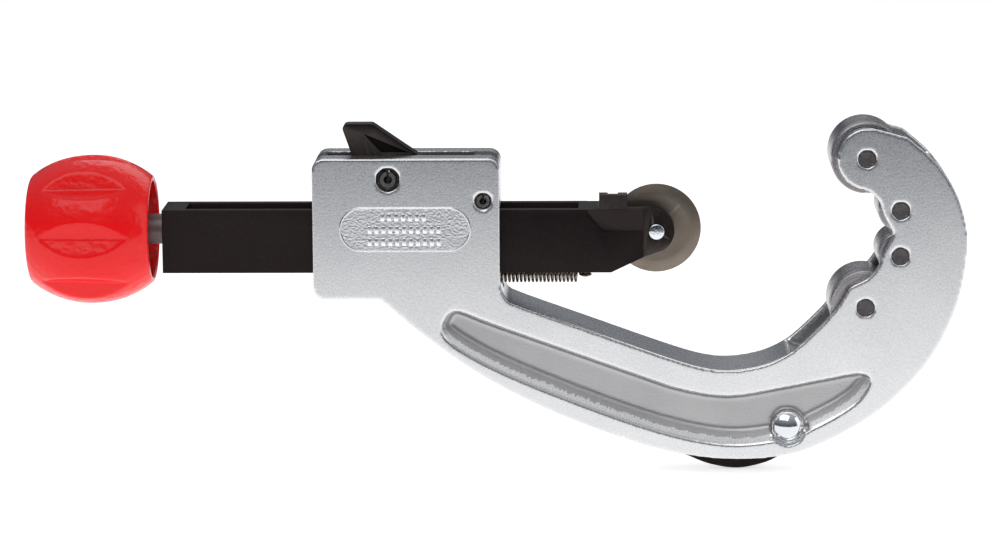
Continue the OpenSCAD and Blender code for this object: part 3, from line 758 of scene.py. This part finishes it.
    def round_rims(self, bm: bmesh.types.BMesh) -> None:
        """Rounds the edges where the casting's sides meet its outline and its pockets.

        Args:
            bm: the casting's mesh.
        """
        side = abs(self.side)

        def on_rim(edge: bmesh.types.BMEdge) -> bool:
            """True for an edge along the flat side, away from the pin holes."""
            if any(abs(abs(v.co.y) - side) > 0.01 * MM for v in edge.verts):
                return False
            return edge.calc_face_angle(0) > math.radians(40) and not self.near_hole(edge)

        def on_box(edge: bmesh.types.BMEdge) -> bool:
            """True for an edge of the guide box."""
            return max(v.co.x for v in edge.verts) <= self.box_front
        ease_edges(bm, self.edge_round, 4, chosen=lambda e: on_rim(e) and not on_box(e))
        ease_edges(bm, self.box_round, 5, chosen=lambda e: on_rim(e) and on_box(e))

    def near_hole(self, edge: bmesh.types.BMEdge) -> bool:
        """True if an edge is the rim of a pin's hole.

        Args:
            edge: the edge to test.

        Returns:
            True if the edge is close round a hole.
        """
        middle = (edge.verts[0].co + edge.verts[1].co) / 2
        return any(math.hypot(middle.x - centre.x, middle.z - centre.z) < reach
                   for centre, reach in self.holes)

    def plate(self) -> list[bpy.types.Object]:
        """Builds the plate cast on the guide box: a raised rim, a stippled field and rows of pips.

        Returns:
            The new objects.
        """
        (x0, z0), (x1, z1) = self.plate_low, self.plate_high
        r = (z1 - z0) / 2
        ends = ((x1 - r, -90), (x0 + r, 90))
        path = [Vector(((cx + r * math.cos(math.radians(a + 180 * k / 24))) * MM, self.side,
                        ((z0 + z1) / 2 + r * math.sin(math.radians(a + 180 * k / 24))) * MM))
                for cx, a in ends for k in range(25)]
        rim = place_piece(wire(path, self.rim_thickness * MM, closed=True), "plate_rim", "frame", CAST_ALLOY)
        bm = bmesh.new()
        face = bm.faces.new([bm.verts.new(p - Vector((0, self.field_proud * MM, 0))) for p in path])
        back = bmesh.ops.extrude_face_region(bm, geom=[face], use_keep_orig=True)["geom"]
        bmesh.ops.translate(bm, verts=[v for v in back if isinstance(v, bmesh.types.BMVert)],
                            vec=(0, 3 * self.field_proud * MM, 0))
        bmesh.ops.recalc_face_normals(bm, faces=bm.faces)
        field = place_piece(bm, "plate_field", "frame", PLATE_STIPPLE)
        return [rim, field, self.pips()]

    def pips(self) -> bpy.types.Object:
        """Builds the rows of raised pips that stand on the plate.

        Returns:
            The pips, as one object.
        """
        bm = bmesh.new()
        wide, tall = self.pip_size
        for x0, x1, z in self.pip_rows:
            count = int((x1 - x0) / self.pip_gap) + 1
            first = (x0 + x1 - (count - 1) * self.pip_gap) / 2
            for k in range(count):
                at = Matrix.Translation(Vector(((first + k * self.pip_gap) * MM, self.side, z * MM)))
                bmesh.ops.create_cube(bm, size=1.0, matrix=at @ Matrix.Diagonal(
                    (wide * MM, 0.8 * MM, tall * MM, 1)))
        ease_edges(bm, 0.3, 3)
        return place_piece(bm, "plate_pips", "frame", CAST_ALLOY)


@dataclass
class Knob:
    """The barrel-shaped knob with long creases, hollow at the front, on the screw's shaft."""

    barrel_radius: float = 29.0
    creases: int = 8
    crease_depth: float = 3.0
    crease_slope: float = 12.0 / 26.0
    crease_tilt: float = math.radians(1.5)
    soft_edge: float = 0.4
    bore_radius: float = 14.5
    wall: float = 9.0
    hub_radius: float = 7.5
    hub_recess: float = 8.0
    shaft_radius: float = 4.55
    floor: float = 7.0
    steps: int = 256

    def build(self) -> list[bpy.types.Object]:
        """Builds the knob.

        Returns:
            The new object, in a list.
        """
        low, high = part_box("knob")
        self.radius = max(math.hypot(v.co.y, v.co.z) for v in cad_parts["knob"].data.vertices) / MM
        self.length = (high.x - low.x) / MM
        bm = spun(self.profile(), Vector((low.x, 0, 0)), Axis.ALONG, closed=False, steps=self.steps)
        self.press_creases(bm, low.x)
        return [place_piece(bm, "knob_enamelled", "screw", RED_ENAMEL, "knob", crease=50.0)]

    def profile(self) -> list[Point]:
        """The knob's section, from the middle of its back round to the shaft's hole.

        Returns:
            Points along the axis and out from it, in millimetres.
        """
        half = self.length / 2
        pull = self.barrel_radius - self.radius
        barrel = []
        for k in range(61):
            x = self.length * k / 60
            barrel.append((x, math.sqrt(self.barrel_radius ** 2 - (x - half) ** 2) - pull, 0.0))
        edge = barrel[0][1]
        back = rounded([(0, 0, 0), (0.0, edge, 1.4), barrel[4]], closed=False)[:-1]
        front = rounded([barrel[-4], (self.length, edge, 0.9), (self.length, self.bore_radius, 0.9),
                         (self.wall, self.bore_radius, 1.5), (self.wall, self.hub_radius, 1.5),
                         (self.length - self.hub_recess, self.hub_radius, 0.6),
                         (self.length - self.hub_recess, self.shaft_radius, 0.3),
                         (self.floor, self.shaft_radius, 0), (self.floor, 0, 0)], closed=False)
        return back + [(x, r) for x, r, _ in barrel[4:-4]] + front

    def press_creases(self, bm: bmesh.types.BMesh, back: float) -> None:
        """Moves the barrel's surface in along each crease.

        Args:
            bm: the knob's mesh.
            back: the place of the knob's back face, in metres.
        """
        pitch = TURN / self.creases
        for vert in bm.verts:
            radius = math.hypot(vert.co.y, vert.co.z) / MM
            if radius < self.bore_radius + 0.6:
                continue
            turn = math.atan2(vert.co.y, vert.co.z)
            off = abs((turn + pitch / 2) % pitch - pitch / 2)
            x = (vert.co.x - back) / MM - self.length / 2 + 1.0
            apex = self.radius - self.crease_depth + x * math.tan(self.crease_tilt)
            flat = apex / (math.cos(off) - self.crease_slope * math.sin(off))
            share = max(0.0, min(1.0, 0.5 + 0.5 * (flat - radius) / self.soft_edge))
            target = flat * (1 - share) + radius * share - self.soft_edge * share * (1 - share)
            vert.co.y *= target / radius
            vert.co.z *= target / radius


@dataclass
class FeedDrive:
    """The feed screw with its bush, snap ring and cross pin."""

    bush_bore: float = 4.6

    def build(self) -> list[bpy.types.Object]:
        """Builds the drive's pieces.

        Returns:
            The new objects.
        """
        return [
            place_piece(merged_copy("feed_screw"), "feed_screw_finished", "screw", DARK_PIN, "feed_screw"),
            self.bush(),
            eased_part("retaining_ring", "screw", SPRING_WIRE, 0.15),
            eased_part("knob_pin", "screw", DARK_PIN, 0.3),
        ]

    def bush(self) -> bpy.types.Object:
        """Builds the bronze bush.

        Returns:
            The bush.
        """
        low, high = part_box("end_bush")
        radius = (high.z - low.z) / 2 / MM
        length = (high.x - low.x) / MM
        profile = rounded([(0, self.bush_bore, 0.3), (0, radius, 0.2), (length, radius, 0.3),
                           (length, self.bush_bore, 0.2)], closed=True, steps=3)
        bm = spun(profile, Vector((low.x, 0, 0)), Axis.ALONG, closed=True)
        return place_piece(bm, "end_bush_turned", "slide", TURNED_BRONZE, "end_bush",
                           material=TURNED_BRONZE.material(Vector((0, 0, 0)), Axis.ALONG))


@dataclass
class CuttingHead:
    """The slide bar with its fork, stop block, wheel and pin."""

    disc_half: float = 0.8
    hub_half: float = 2.5
    hub_radius: float = 4.4
    grind: float = 2.6
    bore: float = 2.45

    def build(self) -> list[bpy.types.Object]:
        """Builds the head's pieces.

        Returns:
            The new objects.
        """
        return [
            eased_part("slide_bar", "slide", BLACK_OXIDE, 0.3),
            eased_part("wheel_fork", "slide", BROWN_OXIDE, 0.3),
            eased_part("stop_block", "slide", BROWN_OXIDE, 0.35),
            self.wheel(),
            self.pin(),
            eased_part("wheel_pin_ring", "slide", SPRING_WIRE, 0.12),
            eased_part("spring_front_pin", "slide", DARK_PIN, 0.25),
        ]

    def wheel(self) -> bpy.types.Object:
        """Builds the cutting wheel.

        Returns:
            The wheel.
        """
        low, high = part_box("cutter_wheel")
        radius = (high.z - low.z) / 2 / MM
        half = [(self.hub_half, self.bore, 0), (self.hub_half, self.hub_radius, 0.3),
                (self.disc_half, self.hub_radius + 0.4, 0.4), (self.disc_half, radius - self.grind, 1.2),
                (0.05, radius, 0)]
        whole = half + [(-x, r, c) for x, r, c in reversed(half)]
        bm = spun(rounded(whole, closed=True), mid("cutter_wheel"), Axis.ACROSS, closed=True, steps=180)
        return place_piece(bm, "cutter_wheel_ground", "wheel", WHEEL_STEEL, "cutter_wheel",
                           material=WHEEL_STEEL.material(mid("cutter_wheel")), flat_sides=True)

    def pin(self) -> bpy.types.Object:
        """Builds the wheel's pin, with its flat polished end towards the front.

        Returns:
            The pin.
        """
        low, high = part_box("wheel_pin")
        radius = (high.z - low.z) / 2 / MM
        length = (high.y - low.y) / MM
        profile = rounded([(0, 0, 0), (0.0, radius, 0.55), (length, radius, 0.4), (length, 0, 0)],
                          closed=False)
        centre = Vector((mid("wheel_pin").x, low.y, mid("wheel_pin").z))
        bm = spun(profile, centre, Axis.ACROSS, closed=False)
        return place_piece(bm, "wheel_pin_turned", "slide", BRIGHT_ZINC, "wheel_pin")


@dataclass
class ReleaseGear:
    """The thumb lever, the half nut it lifts, and their pins and spring."""

    spring_turns: int = 5
    spring_wire: float = 0.6

    def build(self) -> list[bpy.types.Object]:
        """Builds the gear's pieces.

        Returns:
            The new objects.
        """
        return [
            eased_part("release_lever", "lever", BROWN_OXIDE, 0.45, 3),
            eased_part("lever_pivot_pin", "frame", DARK_PIN, 0.25),
            eased_part("guide_pin", "frame", DARK_PIN, 0.25),
            eased_part("half_nut_pin", "nut", DARK_PIN, 0.2),
            place_piece(merged_copy("half_nut"), "half_nut_finished", "nut", ROLLER_STEEL, "half_nut"),
            self.spring(),
        ]

    def spring(self) -> bpy.types.Object:
        """Builds the lever's spring as a fixed coil; the real spring shortens as the lever goes down.

        Returns:
            The spring.
        """
        low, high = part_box("lever_spring")
        thick = self.spring_wire * MM
        radius = (high.x - low.x - thick) / 2
        base, top = low.z + thick / 2, high.z - thick / 2
        steps = 24 * self.spring_turns
        axis = (low + high) / 2
        path = [Vector((axis.x + radius * math.cos(TURN * i / 24), axis.y + radius * math.sin(TURN * i / 24),
                        base + (top - base) * i / steps)) for i in range(steps + 1)]
        bm = wire(path, thick / 2)
        spring = place_piece(bm, "lever_spring_wound", "frame", SPRING_WIRE, "lever_spring")
        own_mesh(spring)
        return spring


@dataclass
class ReturnSpring:
    """The long spring under the slide, hooked to the frame behind and to the slide in front."""

    turns: int = 60
    wire_thickness: float = 0.7
    loop_radius: float = 1.6
    lead: float = 0.8

    def build(self) -> list[bpy.types.Object]:
        """Builds the spring and its rear pin.

        Returns:
            The new objects.
        """
        return [self.coil(), eased_part("spring_rear_pin", "frame", DARK_PIN, 0.25)]

    def loop(self, x: float, height: float, start: float, end: float) -> list[Vector]:
        """The path of the loop round one pin.

        Args:
            x: the pin's place along the tool, in metres.
            height: the spring's height, in metres.
            start: the angle where the loop starts, in degrees.
            end: the angle where it ends, in degrees.

        Returns:
            The points of the path.
        """
        r = self.loop_radius * MM
        angles = [math.radians(start + (end - start) * i / 16) for i in range(17)]
        return [Vector((x + r * math.cos(a), r * math.sin(a), height)) for a in angles]

    def coil(self) -> bpy.types.Object:
        """Builds the coil with its two loops.

        Returns:
            The spring.
        """
        low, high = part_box("return_spring")
        height = (low.z + high.z) / 2
        rear, front = mid("spring_rear_pin").x, mid("spring_front_pin").x
        reach = (self.loop_radius + self.lead) * MM
        start, end = rear + reach, front - reach
        radius = (high.z - low.z) / 2 - self.wire_thickness * MM / 2
        steps = 20 * self.turns
        coil = [Vector((start + (end - start) * i / steps, radius * math.sin(TURN * i / 20),
                        height + radius * math.cos(TURN * i / 20))) for i in range(steps + 1)]
        path = self.loop(rear, height, 40, 345) + coil + self.loop(front, height, 195, 500)
        bm = wire(path, self.wire_thickness * MM / 2)
        spring = place_piece(bm, "return_spring_wound", "frame", SPRING_WIRE, "return_spring", rides=False)
        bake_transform(spring)
        return spring


@dataclass
class Rollers:
    """The four grooved rollers and their pins."""

    groove_width: float = 1.0
    groove_depth: float = 1.5
    land: float = 2.2
    bore: float = 2.65
    edge: float = 0.5

    def build(self) -> list[bpy.types.Object]:
        """Builds the rollers and pins.

        Returns:
            The new objects.
        """
        pieces = []
        for n in range(1, 5):
            pieces += [self.roller(f"roller_{n}"), self.pin(f"roller_pin_{n}")]
        return pieces

    def roller(self, node: str) -> bpy.types.Object:
        """Builds one roller.

        Args:
            node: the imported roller's name.

        Returns:
            The roller.
        """
        low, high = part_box(node)
        radius = (high.z - low.z) / 2 / MM
        width = (high.y - low.y) / MM
        floor = radius - self.groove_depth
        first, second = self.land, self.land + self.groove_width
        profile = rounded([(0, self.bore, 0.3), (0, radius, self.edge), (first, radius, 0.25),
                           (first, floor, 0.2), (second, floor, 0.2), (second, radius, 0.25),
                           (width, radius, self.edge), (width, self.bore, 0.3)], closed=True, steps=3)
        bm = spun(profile, Vector((mid(node).x, low.y, mid(node).z)), Axis.ACROSS, closed=True, steps=112)
        return place_piece(bm, f"{node}_turned", node, ROLLER_STEEL, node,
                           material=ROLLER_STEEL.material(mid(node)), flat_sides=True)

    def pin(self, node: str) -> bpy.types.Object:
        """Builds one roller's pin.

        Args:
            node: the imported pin's name.

        Returns:
            The pin.
        """
        low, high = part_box(node)
        radius = (high.z - low.z) / 2 / MM
        length = (high.y - low.y) / MM
        profile = rounded([(0.15, 0, 0), (0, radius * 0.7, 0.5), (0, radius, 0.5), (length, radius, 0.5),
                           (length, 0, 0)], closed=False)
        bm = spun(profile, Vector((mid(node).x, low.y, mid(node).z)), Axis.ACROSS, closed=False)
        return place_piece(bm, f"{node}_turned", "frame", DARK_PIN, node)


@dataclass
class Reamer:
    """The folding reamer blade with its domed rivet and washer."""

    shank: float = 2.5
    rise: float = 2.2
    seat: float = 10.0

    def build(self) -> list[bpy.types.Object]:
        """Builds the reamer's pieces.

        Returns:
            The new objects.
        """
        return [eased_part("reamer_blade", "reamer", BROWN_OXIDE, 0.4, 3), self.rivet(),
                eased_part("reamer_washer", "frame", SPRING_WIRE, 0.1)]

    def rivet(self) -> bpy.types.Object:
        """Builds the rivet with a dome at each end.

        Returns:
            The rivet.
        """
        low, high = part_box("reamer_rivet")
        head = (high.z - low.z) / 2 / MM
        ball = (head ** 2 + self.rise ** 2) / (2 * self.rise)
        edge = math.asin(head / ball)
        dome = [(self.seat + self.rise - ball * (1 - math.cos(edge * k / 24)), ball * math.sin(edge * k / 24))
                for k in range(25)]
        profile = [(-x, r) for x, r in dome] + [(-self.seat, self.shank), (self.seat, self.shank)]
        profile += list(reversed(dome))
        bm = spun(profile, mid("reamer_rivet"), Axis.ACROSS, closed=False, steps=96)
        return place_piece(bm, "reamer_rivet_domed", "frame", BRIGHT_ZINC, "reamer_rivet")


# --------------------------------------------------------------------------------------
# Studio


@dataclass
class Studio:
    """The pale floor, the soft lights and the camera."""

    target: tuple[float, float, float] = (-0.0727, 0.0, -0.0157)
    distance: float = 1.119
    azimuth: float = 1.6
    elevation: float = 10.2
    roll: float = 0.37
    lens: float = 134.0

    def build(self) -> list[bpy.types.Object]:
        """Builds the studio.

        Returns:
            The floor.
        """
        self.world()
        self.camera()
        self.light("key_box", (-0.35, -0.55, 0.9), (1.1, 0.7), 4.0)
        self.light("back_box", (0.2, 0.9, 0.8), (1.4, 0.6), 3.0)
        self.light("right_box", (1.0, -0.3, 0.35), (0.5, 0.9), 1.6)
        scene = bpy.context.scene
        scene.view_settings.view_transform = "Standard"
        return [self.floor()]

    def camera(self) -> None:
        """Makes the camera."""
        data = bpy.data.cameras.new("camera")
        data.lens = self.lens
        data.sensor_width = 36.0
        data.clip_start, data.clip_end = 0.05, 20.0
        cam = bpy.data.objects.new("camera", data)
        bpy.context.scene.collection.objects.link(cam)
        az, el = math.radians(self.azimuth), math.radians(self.elevation)
        back = Vector((math.sin(az) * math.cos(el), -math.cos(az) * math.cos(el), math.sin(el)))
        cam.location = Vector(self.target) + back * self.distance
        aim = (-back).to_track_quat("-Z", "Y").to_matrix().to_4x4()
        cam.matrix_world = (Matrix.Translation(cam.location) @ aim
                            @ Matrix.Rotation(math.radians(-self.roll), 4, "Z"))
        bpy.context.scene.camera = cam

    def light(self, name: str, place: tuple, size: tuple, power: float) -> None:
        """Makes a soft box that faces the tool.

        Args:
            name: the light's name.
            place: its place, in metres.
            size: its width and height, in metres.
            power: its power, in watts.
        """
        data = bpy.data.lights.new(name, "AREA")
        data.shape = "RECTANGLE"
        data.size, data.size_y = size
        data.energy = power
        lamp = bpy.data.objects.new(name, data)
        bpy.context.scene.collection.objects.link(lamp)
        lamp.location = place
        lamp.rotation_mode = "QUATERNION"
        lamp.rotation_quaternion = (Vector(self.target) - Vector(place)).to_track_quat("-Z", "Y")

    def world(self) -> None:
        """Makes the surroundings: white to look at, and dimmer near the horizon to light with."""
        world = bpy.data.worlds.new("studio")
        world.use_nodes = True
        world.node_tree.nodes.clear()
        g = Graph(world.node_tree)
        height = g.add("SeparateXYZ", {0: g.add("TexCoord").outputs["Generated"]}).outputs[2]
        ramp = g.add("ValToRGB", {0: g.spread(height, 0.5, 1.0)})
        stops = ramp.color_ramp.elements
        stops[0].position, stops[0].color = 0.5, (0.06, 0.085, 0.13, 1)
        stops[1].position, stops[1].color = 1.0, (1.0, 1.0, 1.0, 1)
        soft = g.add("Background", {0: ramp.outputs[0], 1: 0.5})
        plain = g.add("Background", {0: (1, 1, 1, 1), 1: 1.0})
        seen = g.add("LightPath").outputs["Is Camera Ray"]
        both = g.add("MixShader", {0: seen, 1: soft.outputs[0], 2: plain.outputs[0]})
        g.add("OutputWorld", {"Surface": both.outputs[0]})
        bpy.context.scene.world = world

    def floor(self) -> bpy.types.Object:
        """Makes the pale floor that the tool stands on.

        Returns:
            The floor.
        """
        bm = bmesh.new()
        level = CAD_BOX[0].z - 0.2 * MM
        bmesh.ops.create_grid(bm, x_segments=1, y_segments=1, size=1.0,
                              matrix=Matrix.Translation(Vector((self.target[0], 1.55, level)))
                              @ Matrix.Diagonal((2.0, 2.0, 1, 1)))
        mesh = bpy.data.meshes.new("floor")
        bm.to_mesh(mesh)
        bm.free()
        pale = bpy.data.materials.new("pale_floor")
        pale.use_nodes = True
        pale.node_tree.nodes.clear()
        g = Graph(pale.node_tree)
        shader = g.add("BsdfPrincipled", {"Base Color": (0.86, 0.86, 0.86, 1), "Roughness": 0.8,
                                          "Emission Color": (1, 1, 1, 1), "Emission Strength": 0.63})
        g.add("OutputMaterial", {"Surface": shader.outputs[0]})
        mesh.materials.append(pale)
        floor = bpy.data.objects.new("floor", mesh)
        bpy.context.scene.collection.objects.link(floor)
        return floor


def main() -> None:
    """Builds the studio and every sub-assembly, and reports each piece."""
    logging.basicConfig(level=logging.INFO, format="%(name)s: %(message)s")
    for part in (Studio(), Casting(), Knob(), FeedDrive(), CuttingHead(), ReleaseGear(), ReturnSpring(),
                 Rollers(), Reamer()):
        for piece in part.build():
            log.info("%s: %s, %d faces", type(part).__name__, piece.name, len(piece.data.polygons))


if __name__ == "__main__":
    main()
